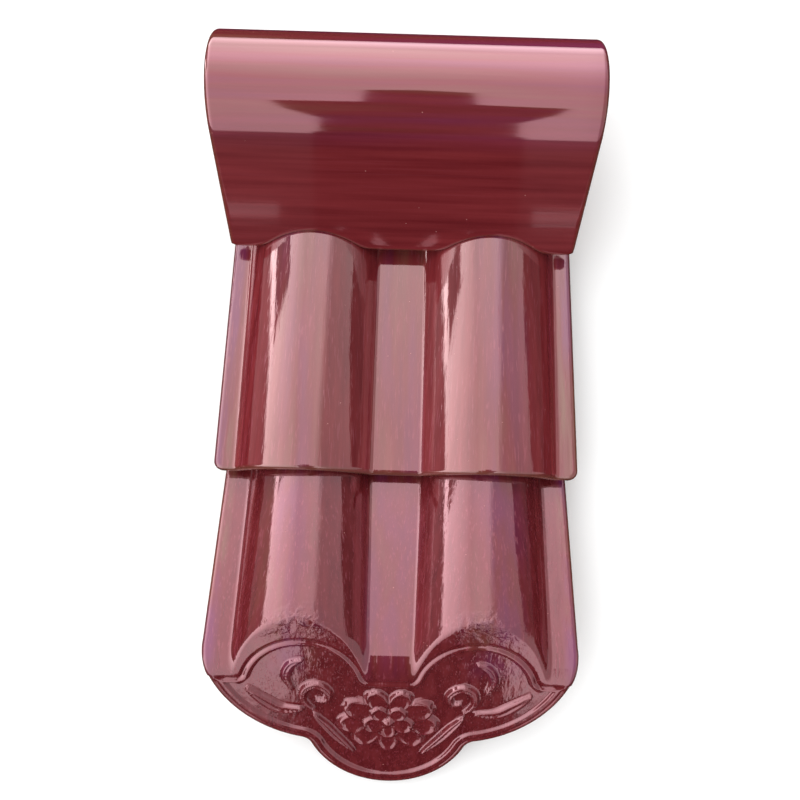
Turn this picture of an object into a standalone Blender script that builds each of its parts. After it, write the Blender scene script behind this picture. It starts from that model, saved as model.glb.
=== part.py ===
"""Glazed roof tiles laid in one run: an eave tile, a field tile lapped over it and a ridge tile on top.

X runs across the run, +Y up the slope towards the ridge, +Z up. The origin is on the ground under the
middle of the run. Each tile is modelled in its own frame, with Y = 0 at its upper end, called the head,
and Z = 0 at the underside of its flat pans, and is then laid on what carries it.
"""
import math

import bmesh
import bpy
import numpy as np
from mathutils import Vector

# Driving dimensions shared by the tiles, in metres
TILE_THICKNESS = 0.011
EDGE_ROUNDING = 0.004
CORNER_RADIUS = 0.008
FOOT_RADIUS = 0.006
RESTING_GAP = 0.0003

# Cross-section of the head, which is narrower so that the next tile nests over it
HEAD_INNER_FOOT = 0.0225
HEAD_OUTER_FOOT = 0.1253
HEAD_BARREL_RISE = 0.031

# Field tile
FIELD_LENGTH = 0.400
FIELD_TAIL_WIDTH = 0.310
FIELD_HEAD_WIDTH = 0.300
FIELD_INNER_FOOT = 0.0213
FIELD_OUTER_FOOT = 0.1356
FIELD_BARREL_RISE = 0.029
FIELD_NECK_LENGTH = 0.105

# Eave tile
LAP = 0.082
EAVE_BODY_LENGTH = 0.235
EAVE_FRONT_WIDTH = 0.302
EAVE_TAPER = 0.007
EAVE_INNER_FOOT = 0.0187
EAVE_OUTER_FOOT = 0.1258
EAVE_BARREL_RISE = 0.029

# Apron hanging from the front of the eave tile
APRON_DROP_ANGLE = math.radians(42.0)
APRON_LENGTH = 0.128
PAN_BEND_RADIUS = 0.034
BARREL_BEND_RADIUS = 0.009
SHOULDER_RADIUS = 0.098
SHOULDER_SETBACK = 0.017
LOBE_RADIUS = 0.070
LOBE_FILLET = 0.012
BEND_SHARPENING = 1.5
LEAST_BORDER = 0.003
PANEL_TOP = 0.0165
PANEL_INNER_FOOT = 0.021
PANEL_OUTER_FOOT = 0.1185
PANEL_ARCH_RISE = 0.040
RIM_WIDTH = 0.009
PANEL_DEPTH = 0.0022
PANEL_EDGE_RUN = 0.002

# Relief on the apron, measured down the apron from the line of the bend
FLOWER_CENTRE = 0.057
FLOWER_HALF_WIDTH = 0.042
FLOWER_HALF_HEIGHT = 0.033
PETAL_HEIGHT = 0.006
OUTER_PETALS = 9
INNER_PETALS = 5
PETAL_NOTCH = 0.84
PETAL_SPOKES = 45
RELIEF_SINK = 0.0015
HEART_SWELL = 1.2
# Each ring of the flower: share of its size, petals that shape it, and the heights on a petal and between
# two petals as shares of the petal height. The last ring is the sunk edge.
FLOWER_RINGS = (
    (0.13, INNER_PETALS, 1.07, 1.07),
    (0.20, INNER_PETALS, 0.80, 0.73),
    (0.34, INNER_PETALS, 0.97, 0.67),
    (0.48, INNER_PETALS, 1.00, 0.57),
    (0.56, INNER_PETALS, 0.57, 0.47),
    (0.76, OUTER_PETALS, 0.70, 0.40),
    (0.95, OUTER_PETALS, 0.73, 0.30),
)
LEAF_STEPS = 11
LEAF_END_SHARE = 0.15
LEAF_SHOULDER = (0.6, 0.8)
# Each leaf: half width, height and the places, across and down, that its middle line passes, all as shares
# of the apron's length
LEAVES = (
    (0.048, 0.028, ((0.563, 0.367), (0.688, 0.367), (0.789, 0.305), (0.891, 0.211))),
    (0.028, 0.031, ((0.469, 0.359), (0.539, 0.297), (0.531, 0.203), (0.453, 0.164), (0.383, 0.219),
                    (0.398, 0.289), (0.453, 0.281))),
    (0.030, 0.030, ((0.609, 0.195), (0.648, 0.102), (0.617, 0.008), (0.547, -0.031))),
    (0.035, 0.028, ((0.469, 0.414), (0.414, 0.492), (0.336, 0.594), (0.227, 0.711))),
)

# Ridge tile
RIDGE_LENGTH = 0.302
RIDGE_SPREAD = 0.198
RIDGE_HEIGHT = 0.1134
RIDGE_CROWN_RADIUS = 0.0532
RIDGE_EDGE_LEVEL = 0.0148
RIDGE_SETBACK = 0.0075
SCALLOP_BLEND = 0.004
RIDGE_TRIM = 0.003

# How finely the curves are divided
PAN_STEPS = 2
FOOT_STEPS = 2
BARREL_STEPS = 10
FLANGE_STEPS = 3
CORNER_STEPS = 3
NECK_STEPS = 4
BEND_STEPS = 3
CROWN_STEPS = 16
OUTLINE_STEPS = 10
PANEL_ROWS = 3
EDGE_SEGMENTS = 2
EDGE_ANGLE = 60.0
SHARP_ANGLE = 35.0
APRON_CORNER_SHARE = 0.86
BULGE_FADE = 4
MERGE_DISTANCE = 0.00005
BEND_PASSES = 4
SOLVE_PASSES = 60

# Glazes
FIELD_GLAZE = (0.20, 0.035, 0.045, 1.0)
EAVE_GLAZE = (0.19, 0.030, 0.042, 1.0)
RIDGE_GLAZE = (0.21, 0.040, 0.048, 1.0)
GLAZE_ROUGHNESS = 0.08


def blend(first, second, share):
    """The value a share of the way from the first to the second."""
    return first + (second - first) * share


def ease(share):
    """A share from 0 to 1, slowed at both ends."""
    share = min(max(share, 0.0), 1.0)
    return share * share * (3.0 - 2.0 * share)


# Cross-sections of a tile with two barrels

def half_section(inner_foot, outer_foot, rise, half_width):
    """Top line of half a tile, as (x, height over the pan) from the middle pan out to the flange edge."""
    reach = (outer_foot - inner_foot) / 2
    middle = (outer_foot + inner_foot) / 2
    radius = (reach ** 2 + rise ** 2) / (2 * rise)
    sink = radius - rise
    spread = math.sqrt((radius + FOOT_RADIUS) ** 2 - (FOOT_RADIUS + sink) ** 2)
    turn = math.asin(spread / (radius + FOOT_RADIUS))
    points = [((middle - spread) * k / PAN_STEPS, 0.0) for k in range(PAN_STEPS)]
    for k in range(FOOT_STEPS):
        angle = turn * k / FOOT_STEPS
        points.append((middle - spread + FOOT_RADIUS * math.sin(angle), FOOT_RADIUS * (1 - math.cos(angle))))
    for k in range(BARREL_STEPS + 1):
        angle = turn * (2 * k / BARREL_STEPS - 1)
        points.append((middle + radius * math.sin(angle), radius * math.cos(angle) - sink))
    for k in range(1, FOOT_STEPS + 1):
        angle = turn * (1 - k / FOOT_STEPS)
        points.append((middle + spread - FOOT_RADIUS * math.sin(angle), FOOT_RADIUS * (1 - math.cos(angle))))
    foot_end = middle + spread
    for k in range(1, FLANGE_STEPS + 1):
        points.append((blend(foot_end, half_width, k / FLANGE_STEPS), 0.0))
    return points


def tile_section(neck, body, neck_share, half_width):
    """Half section between the neck's (inner foot, outer foot, rise) and the body's."""
    inner, outer, rise = (blend(a, b, neck_share) for a, b in zip(neck, body))
    return half_section(inner, outer, rise, half_width)


HEAD_SHAPE = (HEAD_INNER_FOOT, HEAD_OUTER_FOOT, HEAD_BARREL_RISE)
FIELD_SHAPE = (FIELD_INNER_FOOT, FIELD_OUTER_FOOT, FIELD_BARREL_RISE)
EAVE_SHAPE = (EAVE_INNER_FOOT, EAVE_OUTER_FOOT, EAVE_BARREL_RISE)
PANEL_ARCH = (PANEL_INNER_FOOT, PANEL_OUTER_FOOT, PANEL_ARCH_RISE)


def corner_stations(start, direction):
    """Distances along the tile, and how far its side is drawn in there, round a corner in plan."""
    stations = []
    for k in range(CORNER_STEPS + 1):
        angle = math.pi / 2 * k / CORNER_STEPS
        along = start + direction * CORNER_RADIUS * (1 - math.cos(angle))
        stations.append((along, CORNER_RADIUS * (1 - math.sin(angle))))
    return stations


def field_section(along, inset=0.0):
    """Half section of the field tile at a distance from its head."""
    half_width = blend(FIELD_HEAD_WIDTH, FIELD_TAIL_WIDTH, along / FIELD_LENGTH) / 2 - inset
    share = ease((along - LAP) / FIELD_NECK_LENGTH)
    return tile_section(HEAD_SHAPE, FIELD_SHAPE, share, half_width)


def field_rows():
    """Top surface of half the field tile, head to tail."""
    neck = [(LAP + FIELD_NECK_LENGTH * k / NECK_STEPS, 0.0) for k in range(NECK_STEPS + 1)]
    stations = corner_stations(0.0, 1) + neck + corner_stations(FIELD_LENGTH, -1)[::-1]
    return [[(x, -along, z + TILE_THICKNESS) for x, z in field_section(along, inset)]
            for along, inset in stations]


# Outline of the apron, in its own plane: x across, w down from the line of the bend

def circle_meeting(centre_a, radius_a, centre_b, radius_b):
    """Where two circles cross, on the side further from the middle of the apron."""
    across = Vector(centre_b) - Vector(centre_a)
    gap = across.length
    along = (radius_a ** 2 - radius_b ** 2 + gap ** 2) / (2 * gap)
    off = math.sqrt(radius_a ** 2 - along ** 2)
    unit = across / gap
    options = [Vector(centre_a) + unit * along + Vector((-unit.y, unit.x)) * off * side for side in (1, -1)]
    return max(options, key=lambda point: point.y)


def arc_points(centre, radius, start, end, steps):
    """Points on an arc between two others, both included."""
    first = math.atan2(start[1] - centre[1], start[0] - centre[0])
    last = math.atan2(end[1] - centre[1], end[0] - centre[0])
    angles = [blend(first, last, k / steps) for k in range(steps + 1)]
    return [(centre[0] + radius * math.cos(a), centre[1] + radius * math.sin(a)) for a in angles]


def apron_outline():
    """Edge of half the apron, from the tip of its middle lobe round to the straight side of the tile."""
    shoulder = (EAVE_FRONT_WIDTH / 2 - SHOULDER_RADIUS, -SHOULDER_SETBACK)
    lobe = (0.0, APRON_LENGTH - LOBE_RADIUS)
    notch = circle_meeting(shoulder, SHOULDER_RADIUS + LOBE_FILLET, lobe, LOBE_RADIUS + LOBE_FILLET)
    leave_lobe = notch + (Vector(lobe) - notch).normalized() * LOBE_FILLET
    join_shoulder = notch + (Vector(shoulder) - notch).normalized() * LOBE_FILLET
    side = (EAVE_FRONT_WIDTH / 2, -SHOULDER_SETBACK)
    points = arc_points(lobe, LOBE_RADIUS, (0.0, APRON_LENGTH), leave_lobe, OUTLINE_STEPS)
    points += arc_points(notch, LOBE_FILLET, leave_lobe, join_shoulder, OUTLINE_STEPS // 2)[1:]
    points += arc_points(shoulder, SHOULDER_RADIUS, join_shoulder, side, OUTLINE_STEPS * 2)[1:]
    return np.array(points)


class Outline:
    """The apron's edge, read by its length from the tip."""

    def __init__(self):
        self.points = apron_outline()
        steps = np.hypot(*np.diff(self.points, axis=0).T)
        self.lengths = np.concatenate(([0.0], np.cumsum(steps)))

    def at(self, length):
        return np.array([np.interp(length, self.lengths, self.points[:, axis]) for axis in (0, 1)])

    def length_at_drop(self, drop):
        """Length from the tip to the point of the shoulder that lies a distance down the apron."""
        falling = self.points[::-1]
        return float(np.interp(drop, falling[:, 1], self.lengths[::-1]))

    def half_width(self, drop):
        """Half width of the shoulder a distance down the apron."""
        return float(self.at(self.length_at_drop(drop))[0])

    def distance(self, x, drop):
        """Distance from a point of the apron to its edge."""
        start = self.points[:-1]
        run = self.points[1:] - start
        to_point = np.array([abs(x), drop]) - start
        share = np.clip((to_point * run).sum(1) / (run ** 2).sum(1), 0.0, 1.0)
        return float(np.hypot(*(to_point - run * share[:, None]).T).min())


# Eave tile

def eave_section(along, inset=0.0):
    """Half section of the eave tile at a distance from its head."""
    drawn_in = EAVE_TAPER * (1 - along / EAVE_BODY_LENGTH)
    half_width = (EAVE_FRONT_WIDTH - drawn_in) / 2 - inset
    share = max(0.0, (along - LAP) / (EAVE_BODY_LENGTH - LAP))
    return tile_section(HEAD_SHAPE, EAVE_SHAPE, share, half_width)


def apron_point(x, drop, lift=0.0):
    """Place in the eave tile's frame of a point on the apron's face, or lifted from it."""
    cos, sin = math.cos(APRON_DROP_ANGLE), math.sin(APRON_DROP_ANGLE)
    return (x, -EAVE_BODY_LENGTH - drop * cos - lift * sin, TILE_THICKNESS - drop * sin + lift * cos)


def bend_of_column(column):
    """Where a column of the section meets the apron's plane: distance from the head, height and bend radius."""
    along = EAVE_BODY_LENGTH
    height = 0.0
    for _ in range(BEND_PASSES):
        height = eave_section(along)[column][1]
        along = EAVE_BODY_LENGTH - height / math.tan(APRON_DROP_ANGLE)
    on_barrel = ease(height / EAVE_BARREL_RISE * BEND_SHARPENING)
    return along, height, blend(PAN_BEND_RADIUS, BARREL_BEND_RADIUS, on_barrel)


def border_width(column, top_drop):
    """Width of the border between a column's end of the bend and the panel's arched top."""
    arch = half_section(*PANEL_ARCH, EAVE_FRONT_WIDTH / 2)[column][1]
    return max(PANEL_TOP - arch - top_drop, LEAST_BORDER)


def column_marks(length, border):
    """Distances down a column of the apron at which its rows lie, past the border, panel and rim."""
    panel_top = border + PANEL_EDGE_RUN
    panel_foot = length - RIM_WIDTH - PANEL_EDGE_RUN
    panel = [blend(panel_top, panel_foot, k / PANEL_ROWS) for k in range(PANEL_ROWS + 1)]
    return [border, *panel, length - RIM_WIDTH, length]


def panel_lift(outline, x, drop, past_border):
    """Height of the sunk panel against the border above it and the rim round it."""
    past_rim = outline.distance(x, drop) - RIM_WIDTH
    shares = [min(max(past / PANEL_EDGE_RUN, 0.0), 1.0) for past in (past_border, past_rim)]
    return -PANEL_DEPTH * shares[0] * shares[1]


def bend_rows(outline, bends, tangents, flange_start):
    """Rows of the eave tile's rounded bend, where the flange's columns follow the shoulder."""
    rows = []
    for step in range(BEND_STEPS + 1):
        turn = APRON_DROP_ANGLE * step / BEND_STEPS
        row = []
        for column, ((along, height, radius), tangent) in enumerate(zip(bends, tangents)):
            section = eave_section(along)
            x = section[column][0]
            if column > flange_start:
                drop = along - EAVE_BODY_LENGTH + tangent * (2 * step / BEND_STEPS - 1)
                share = (column - flange_start) / FLANGE_STEPS
                x = blend(section[flange_start][0], outline.half_width(drop), share)
            y = along - tangent + radius * math.sin(turn)
            row.append((x, -y, height - radius * (1 - math.cos(turn)) + TILE_THICKNESS))
        rows.append(row)
    return rows


def apron_rows(outline, tops, flange_drop):
    """Rows of the apron's face, between the end of the bend and the outline."""
    last = len(tops) - 1
    side_length = outline.length_at_drop(flange_drop)
    corner_length = side_length * APRON_CORNER_SHARE
    feet = [outline.at(corner_length * column / last) for column in range(last + 1)]
    columns = []
    for column, (top, foot) in enumerate(zip(tops, feet)):
        length = float(np.hypot(*(foot - top)))
        border = border_width(column, top[1])
        points = []
        for mark in column_marks(length, border):
            share = mark / length
            bulge = outline.at(blend(side_length, corner_length, share)) - blend(tops[-1], feet[-1], share)
            x, drop = blend(top, foot, share) + bulge * (column / last) ** BULGE_FADE
            points.append(apron_point(float(x), float(drop), panel_lift(outline, x, drop, mark - border)))
        columns.append(points)
    return [list(row) for row in zip(*columns)]


def eave_rows(outline):
    """Top surface of half the eave tile: body, bend and apron, head to tip."""
    last = len(eave_section(0.0)) - 1
    bends = [bend_of_column(column) for column in range(last + 1)]
    tangents = [radius * math.tan(APRON_DROP_ANGLE / 2) for _, _, radius in bends]
    stations = corner_stations(0.0, 1) + [(LAP, 0.0)]
    body = [[(x, -along, z + TILE_THICKNESS) for x, z in eave_section(along, inset)]
            for along, inset in stations]
    bend = bend_rows(outline, bends, tangents, last - FLANGE_STEPS)
    tops = [np.array([point[0], tangent - height / math.sin(APRON_DROP_ANGLE)])
            for point, (_, height, _), tangent in zip(bend[-1], bends, tangents)]
    return body + bend + apron_rows(outline, tops, tangents[-1])


# Making the objects

def glaze_material(name, colour):
    material = bpy.data.materials.new(name)
    material.use_nodes = True
    shader = material.node_tree.nodes["Principled BSDF"]
    shader.inputs["Base Color"].default_value = colour
    shader.inputs["Roughness"].default_value = GLAZE_ROUGHNESS
    shader.inputs["Metallic"].default_value = 0.0
    material.diffuse_color = colour
    return material


def add_object(name, mesh, collection, parent=None):
    made = bpy.data.objects.new(name, mesh)
    collection.objects.link(made)
    made.parent = parent
    return made


def hide_helper(helper):
    helper.hide_render = True
    helper.display_type = "WIRE"


def surface_mesh(name, rows):
    """Open sheet through rows of points, facing up."""
    builder = bmesh.new()
    grid = [[builder.verts.new(point) for point in row] for row in rows]
    for upper, lower in zip(grid, grid[1:]):
        for column in range(len(upper) - 1):
            corners = (upper[column], lower[column], lower[column + 1], upper[column + 1])
            builder.faces.new(corners)
    mesh = bpy.data.meshes.new(name)
    builder.to_mesh(mesh)
    builder.free()
    return mesh


def add_mirror(made):
    mirror = made.modifiers.new("Both halves", "MIRROR")
    mirror.use_clip = True
    mirror.merge_threshold = MERGE_DISTANCE


def add_wall(made, thickness):
    """Gives an open sheet its thickness, on the side away from its face."""
    wall = made.modifiers.new("Wall", "SOLIDIFY")
    wall.thickness = thickness
    wall.offset = -1.0
    wall.use_even_offset = True


def add_rounding(made):
    rounding = made.modifiers.new("Rounded edges", "BEVEL")
    rounding.width = EDGE_ROUNDING
    rounding.segments = EDGE_SEGMENTS
    rounding.limit_method = "ANGLE"
    rounding.angle_limit = math.radians(EDGE_ANGLE)


def add_boolean(made, operation, other):
    boolean = made.modifiers.new(other.name, "BOOLEAN")
    boolean.operation = operation
    boolean.object = other
    boolean.solver = "EXACT"


def finish_tile(made, material):
    made.data.materials.append(material)
    made.data.shade_smooth()
    made.data.set_sharp_from_angle(angle=math.radians(SHARP_ANGLE))


def make_field_tile(collection, parent):
    tile = add_object("field_tile", surface_mesh("field_tile", field_rows()), collection, parent)
    finish_tile(tile, glaze_material("field_glaze", FIELD_GLAZE))
    add_mirror(tile)
    add_wall(tile, TILE_THICKNESS)
    add_rounding(tile)
    return tile


def make_eave_tile(collection, parent, relief):
    tile = add_object("eave_tile", surface_mesh("eave_tile", eave_rows(Outline())), collection, parent)
    finish_tile(tile, glaze_material("eave_glaze", EAVE_GLAZE))
    add_mirror(tile)
    add_wall(tile, TILE_THICKNESS)
    add_rounding(tile)
    apron = bpy.data.objects.new("apron_face", None)
    apron.location = (0.0, -EAVE_BODY_LENGTH, TILE_THICKNESS)
    apron.rotation_euler = (APRON_DROP_ANGLE, 0.0, 0.0)
    apron.parent = tile
    collection.objects.link(apron)
    add_boolean(tile, "UNION", make_relief(relief, apron))
    return tile


# Relief: a flower and leaves as closed shapes sunk in the panel, on the apron's face with Y up the apron

def petal_share(turn, count):
    """1 in the middle of each petal of a ring and 0 between two of them, where a turn of 0 points down."""
    return abs(math.cos(turn * count / 2))


def flower_ring(share, count, petal_lift, valley_lift):
    """Points round the flower, drawn in and lowered between petals."""
    ring = []
    for spoke in range(PETAL_SPOKES):
        turn = 2 * math.pi * spoke / PETAL_SPOKES
        full = math.sqrt(petal_share(turn, count))
        reach = share * blend(PETAL_NOTCH, 1.0, full)
        drop = FLOWER_CENTRE + FLOWER_HALF_HEIGHT * reach * math.cos(turn)
        lift = blend(valley_lift, petal_lift, full) - PANEL_DEPTH
        ring.append((FLOWER_HALF_WIDTH * reach * math.sin(turn), -drop, lift))
    return ring


def add_flower(builder):
    """A closed disc of two rings of petals round a heart."""
    rings = [flower_ring(share, count, on_petal * PETAL_HEIGHT, between * PETAL_HEIGHT)
             for share, count, on_petal, between in FLOWER_RINGS]
    rings.append(flower_ring(1.0, OUTER_PETALS, -RELIEF_SINK, -RELIEF_SINK))
    rings = [[builder.verts.new(point) for point in ring] for ring in rings]
    for inner, outer in zip(rings, rings[1:]):
        for k in range(PETAL_SPOKES):
            builder.faces.new((inner[k - 1], outer[k - 1], outer[k], inner[k]))
    heart = builder.verts.new((0.0, -FLOWER_CENTRE, PETAL_HEIGHT * HEART_SWELL - PANEL_DEPTH))
    under = builder.verts.new((0.0, -FLOWER_CENTRE, -RELIEF_SINK - PANEL_DEPTH))
    for k in range(PETAL_SPOKES):
        builder.faces.new((heart, rings[0][k - 1], rings[0][k]))
        builder.faces.new((under, rings[-1][k], rings[-1][k - 1]))


def smooth_line(places):
    """Points on a line that passes smoothly through places, and its direction at each of them."""
    first, last = 2 * places[0] - places[1], 2 * places[-1] - places[-2]
    knots = np.array([first, *places, last])
    line = []
    for step in range(LEAF_STEPS):
        along = step / (LEAF_STEPS - 1) * (len(places) - 1)
        start = min(int(along), len(places) - 2)
        share = along - start
        before, here, after, beyond = knots[start:start + 4]
        bend = 2 * before - 5 * here + 4 * after - beyond
        swing = 3 * here - before - 3 * after + beyond
        point = here + ((after - before) * share + bend * share ** 2 + swing * share ** 3) / 2
        direction = (after - before) + 2 * bend * share + 3 * swing * share ** 2
        line.append((point, direction / np.hypot(*direction)))
    return line


def add_leaf(builder, half_width, height, places, side):
    """A closed leaf along a line: broad in the middle, fine at its ends, with its underside sunk."""
    shoulder_reach, shoulder_height = LEAF_SHOULDER
    loops = []
    for step, (point, direction) in enumerate(smooth_line(np.array(places) * APRON_LENGTH)):
        full = blend(LEAF_END_SHARE, 1.0, math.sin(math.pi * step / (LEAF_STEPS - 1)))
        width = half_width * APRON_LENGTH * full
        tall = height * APRON_LENGTH * full
        section = ((-1.0, -RELIEF_SINK), (-shoulder_reach, tall * shoulder_height), (0.0, tall),
                   (shoulder_reach, tall * shoulder_height), (1.0, -RELIEF_SINK))
        loop = []
        for reach, lift in section:
            x, drop = point + np.array((-direction[1], direction[0])) * reach * width
            loop.append(builder.verts.new((side * float(x), -float(drop), lift - PANEL_DEPTH)))
        loops.append(loop)
    for loop, following in zip(loops, loops[1:]):
        for k in range(len(loop)):
            builder.faces.new((loop[k - 1], following[k - 1], following[k], loop[k]))
    builder.faces.new(loops[0])
    builder.faces.new(loops[-1][::-1])


def make_relief(relief, apron):
    """The flower and the same leaves on both sides of it, none of them touching another."""
    builder = bmesh.new()
    add_flower(builder)
    for side in (1.0, -1.0):
        for half_width, height, places in LEAVES:
            add_leaf(builder, half_width, height, places, side)
    bmesh.ops.recalc_face_normals(builder, faces=builder.faces)
    mesh = bpy.data.meshes.new("flower_and_leaves")
    builder.to_mesh(mesh)
    builder.free()
    shape = add_object("flower_and_leaves", mesh, relief, apron)
    hide_helper(shape)
    return shape


# Ridge tile

def ridge_profile():
    """Outer line of the ridge tile's section, as (y, z), with its lower edges carried down to be cut."""
    half = RIDGE_SPREAD / 2
    centre = RIDGE_HEIGHT - RIDGE_CROWN_RADIUS
    distance = math.hypot(half, centre)
    slope = math.atan2(centre, half) + math.asin(RIDGE_CROWN_RADIUS / distance)
    foot = (-half - RIDGE_TRIM * math.cos(slope), -RIDGE_TRIM * math.sin(slope))
    left = [foot]
    for k in range(CROWN_STEPS + 1):
        angle = blend(-slope, slope, k / CROWN_STEPS)
        left.append((RIDGE_CROWN_RADIUS * math.sin(angle), centre + RIDGE_CROWN_RADIUS * math.cos(angle)))
    left.append((-foot[0], foot[1]))
    return left


def make_scallop_cutter(cutters, field_tile):
    """Block whose top keeps the ridge tile's lower edges off the pans and fits them to the barrels."""
    front = RIDGE_SETBACK + RIDGE_SPREAD + TILE_THICKNESS
    back = RIDGE_SETBACK - TILE_THICKNESS
    neck = [LAP + FIELD_NECK_LENGTH * k / NECK_STEPS for k in range(NECK_STEPS + 1)]
    rows = []
    for along in sorted([back, front, *(station for station in neck if back < station < front)]):
        row = []
        for x, z in field_section(max(along, 0.0)):
            barrel = z + RESTING_GAP
            level = RIDGE_EDGE_LEVEL
            top = (barrel + level + math.hypot(barrel - level, SCALLOP_BLEND)) / 2
            row.append((x, -along, top + TILE_THICKNESS))
        row.append((RIDGE_LENGTH / 2 + TILE_THICKNESS, -along, row[-1][2]))
        rows.append(row)
    cutter = add_object("scallop_cutter", surface_mesh("scallop_cutter", rows), cutters, field_tile)
    add_mirror(cutter)
    add_wall(cutter, FIELD_BARREL_RISE + TILE_THICKNESS)
    hide_helper(cutter)
    return cutter


def make_ridge_tile(collection, cutters, field_tile):
    """Ridge tile astride the field tile's barrels, near its head."""
    rows = [[(side * RIDGE_LENGTH / 2, y, z) for y, z in ridge_profile()] for side in (-1, 1)]
    tile = add_object("ridge_tile", surface_mesh("ridge_tile", rows), collection, field_tile)
    tile.location = (0.0, -RIDGE_SETBACK - RIDGE_SPREAD / 2, TILE_THICKNESS + RIDGE_EDGE_LEVEL)
    finish_tile(tile, glaze_material("ridge_glaze", RIDGE_GLAZE))
    add_wall(tile, TILE_THICKNESS)
    add_rounding(tile)
    add_boolean(tile, "DIFFERENCE", make_scallop_cutter(cutters, field_tile))
    return tile


# Laying the tiles

def solid_points(made):
    """Corners of an object's finished solid, in its own frame."""
    depsgraph = bpy.context.evaluated_depsgraph_get()
    solid = made.evaluated_get(depsgraph)
    mesh = solid.to_mesh()
    points = np.array([vertex.co[:] for vertex in mesh.vertices])
    solid.to_mesh_clear()
    return points


def lowest(points, pitch):
    """Lowest level of points once their front is raised by a pitch."""
    return float((points[:, 2] * math.cos(pitch) - points[:, 1] * math.sin(pitch)).min())


def solve(error, low, high):
    """Where a falling error between two angles passes nought."""
    for _ in range(SOLVE_PASSES):
        middle = (low + high) / 2
        if error(middle) > 0:
            low = middle
        else:
            high = middle
    return (low + high) / 2


def lay_eave_tile(tile):
    """Rests the eave tile on the edge of its head and the tip of its apron."""
    points = solid_points(tile)
    middle = -EAVE_BODY_LENGTH / 2
    head, front = points[points[:, 1] > middle], points[points[:, 1] < middle]
    pitch = solve(lambda angle: lowest(head, angle) - lowest(front, angle), 0.0, APRON_DROP_ANGLE)
    tile.rotation_euler = (-pitch, 0.0, 0.0)
    tile.location = (0.0, 0.0, -lowest(points, pitch))
    return pitch


def underside(section):
    """Line that a wall's thickness below a section, from the mitred directions of its corners."""
    points = np.array([(-section[1][0], section[1][1])] + list(section))
    runs = np.diff(points, axis=0)
    normals = np.column_stack((-runs[:, 1], runs[:, 0])) / np.hypot(*runs.T)[:, None]
    normals = np.vstack((normals, normals[-1]))
    mitred = normals[:-1] + normals[1:]
    mitred = mitred * (2 / (mitred ** 2).sum(1))[:, None]
    return points[1:] - mitred * TILE_THICKNESS


def nesting_lift(upper_section, lower_section):
    """How far the upper tile's pans must lie over the lower tile's, top to top, for the two to clear."""
    under = underside(upper_section)
    over = np.array(lower_section)
    places = np.union1d(under[:, 0], over[:, 0])
    places = places[(places >= 0) & (places <= min(under[-1, 0], over[-1, 0]))]
    gap = np.interp(places, over[:, 0], over[:, 1]) - np.interp(places, under[:, 0], under[:, 1])
    return float(gap.max()) + RESTING_GAP


def lay_field_tile(tile, eave_tile, eave_pitch):
    """Laps the field tile's tail over the eave tile, with the edge of its head on the ground."""
    lift = nesting_lift(field_section(FIELD_LENGTH), eave_section(LAP))
    cos, sin = math.cos(eave_pitch), math.sin(eave_pitch)
    tail_y = eave_tile.location.y - LAP * cos + lift * sin
    tail_z = eave_tile.location.z + LAP * sin + lift * cos
    points = solid_points(tile)

    def error(angle):
        return tail_z - FIELD_LENGTH * math.sin(angle) + lowest(points, angle)

    pitch = solve(error, 0.0, eave_pitch)
    tile.rotation_euler = (-pitch, 0.0, 0.0)
    tile.location = (0.0, tail_y + FIELD_LENGTH * math.cos(pitch), -lowest(points, pitch))


def centre_run(run, tiles):
    """Moves the whole run so that the origin is on the ground under its middle."""
    bpy.context.view_layer.update()
    levels = []
    for tile in tiles:
        turned = np.array(tile.matrix_world)
        levels.extend(solid_points(tile) @ turned[1, :3] + turned[1, 3])
    run.location.y = -(min(levels) + max(levels)) / 2
    bpy.context.view_layer.update()


def new_collection(name):
    collection = bpy.data.collections.new(name)
    bpy.context.scene.collection.children.link(collection)
    return collection


for old in list(bpy.data.objects):
    bpy.data.objects.remove(old)

tiles = new_collection("glazed_roof_tiles")
relief = new_collection("relief_shapes")
cutters = new_collection("cutters")
run = bpy.data.objects.new("tile_run", None)
tiles.objects.link(run)

eave = make_eave_tile(tiles, run, relief)
field = make_field_tile(tiles, run)
ridge = make_ridge_tile(tiles, cutters, field)
bpy.context.view_layer.update()
lay_field_tile(field, eave, lay_eave_tile(eave))
centre_run(run, (eave, field, ridge))
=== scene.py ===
"""Looks of the glazed roof tile run: three pressed and glazed clay tiles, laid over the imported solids.

X runs across the run, +Y up the slope, +Z up, in metres. Each tile is made in its own frame, with Y = 0 at
its upper end, called the head, and is then laid where its solid lies.
"""
import math

import bpy
import numpy as np
from mathutils import Matrix


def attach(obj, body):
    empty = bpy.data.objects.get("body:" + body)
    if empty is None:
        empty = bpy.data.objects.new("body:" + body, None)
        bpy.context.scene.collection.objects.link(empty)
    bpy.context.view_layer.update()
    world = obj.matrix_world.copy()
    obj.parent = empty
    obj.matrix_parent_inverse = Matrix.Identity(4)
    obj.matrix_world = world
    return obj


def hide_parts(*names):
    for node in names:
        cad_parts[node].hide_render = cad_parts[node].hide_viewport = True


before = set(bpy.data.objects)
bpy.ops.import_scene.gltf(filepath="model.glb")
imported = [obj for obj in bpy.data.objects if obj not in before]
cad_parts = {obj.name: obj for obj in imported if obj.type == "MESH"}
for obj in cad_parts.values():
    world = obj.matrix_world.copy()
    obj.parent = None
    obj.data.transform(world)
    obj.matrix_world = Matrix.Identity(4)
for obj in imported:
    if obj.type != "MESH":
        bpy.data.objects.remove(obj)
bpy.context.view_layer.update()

# Where the tiles lie: how far the tail is pitched up, and the place of the head's middle
EAVE_LAY = (0.25117, (0.0, 0.0056249, -0.0000095))
FIELD_LAY = (0.0942127, (0.0, 0.3288265, -0.0001008))
RIDGE_LAY = (0.0942127, (0.0, 0.2252259, 0.0356036))

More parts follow.
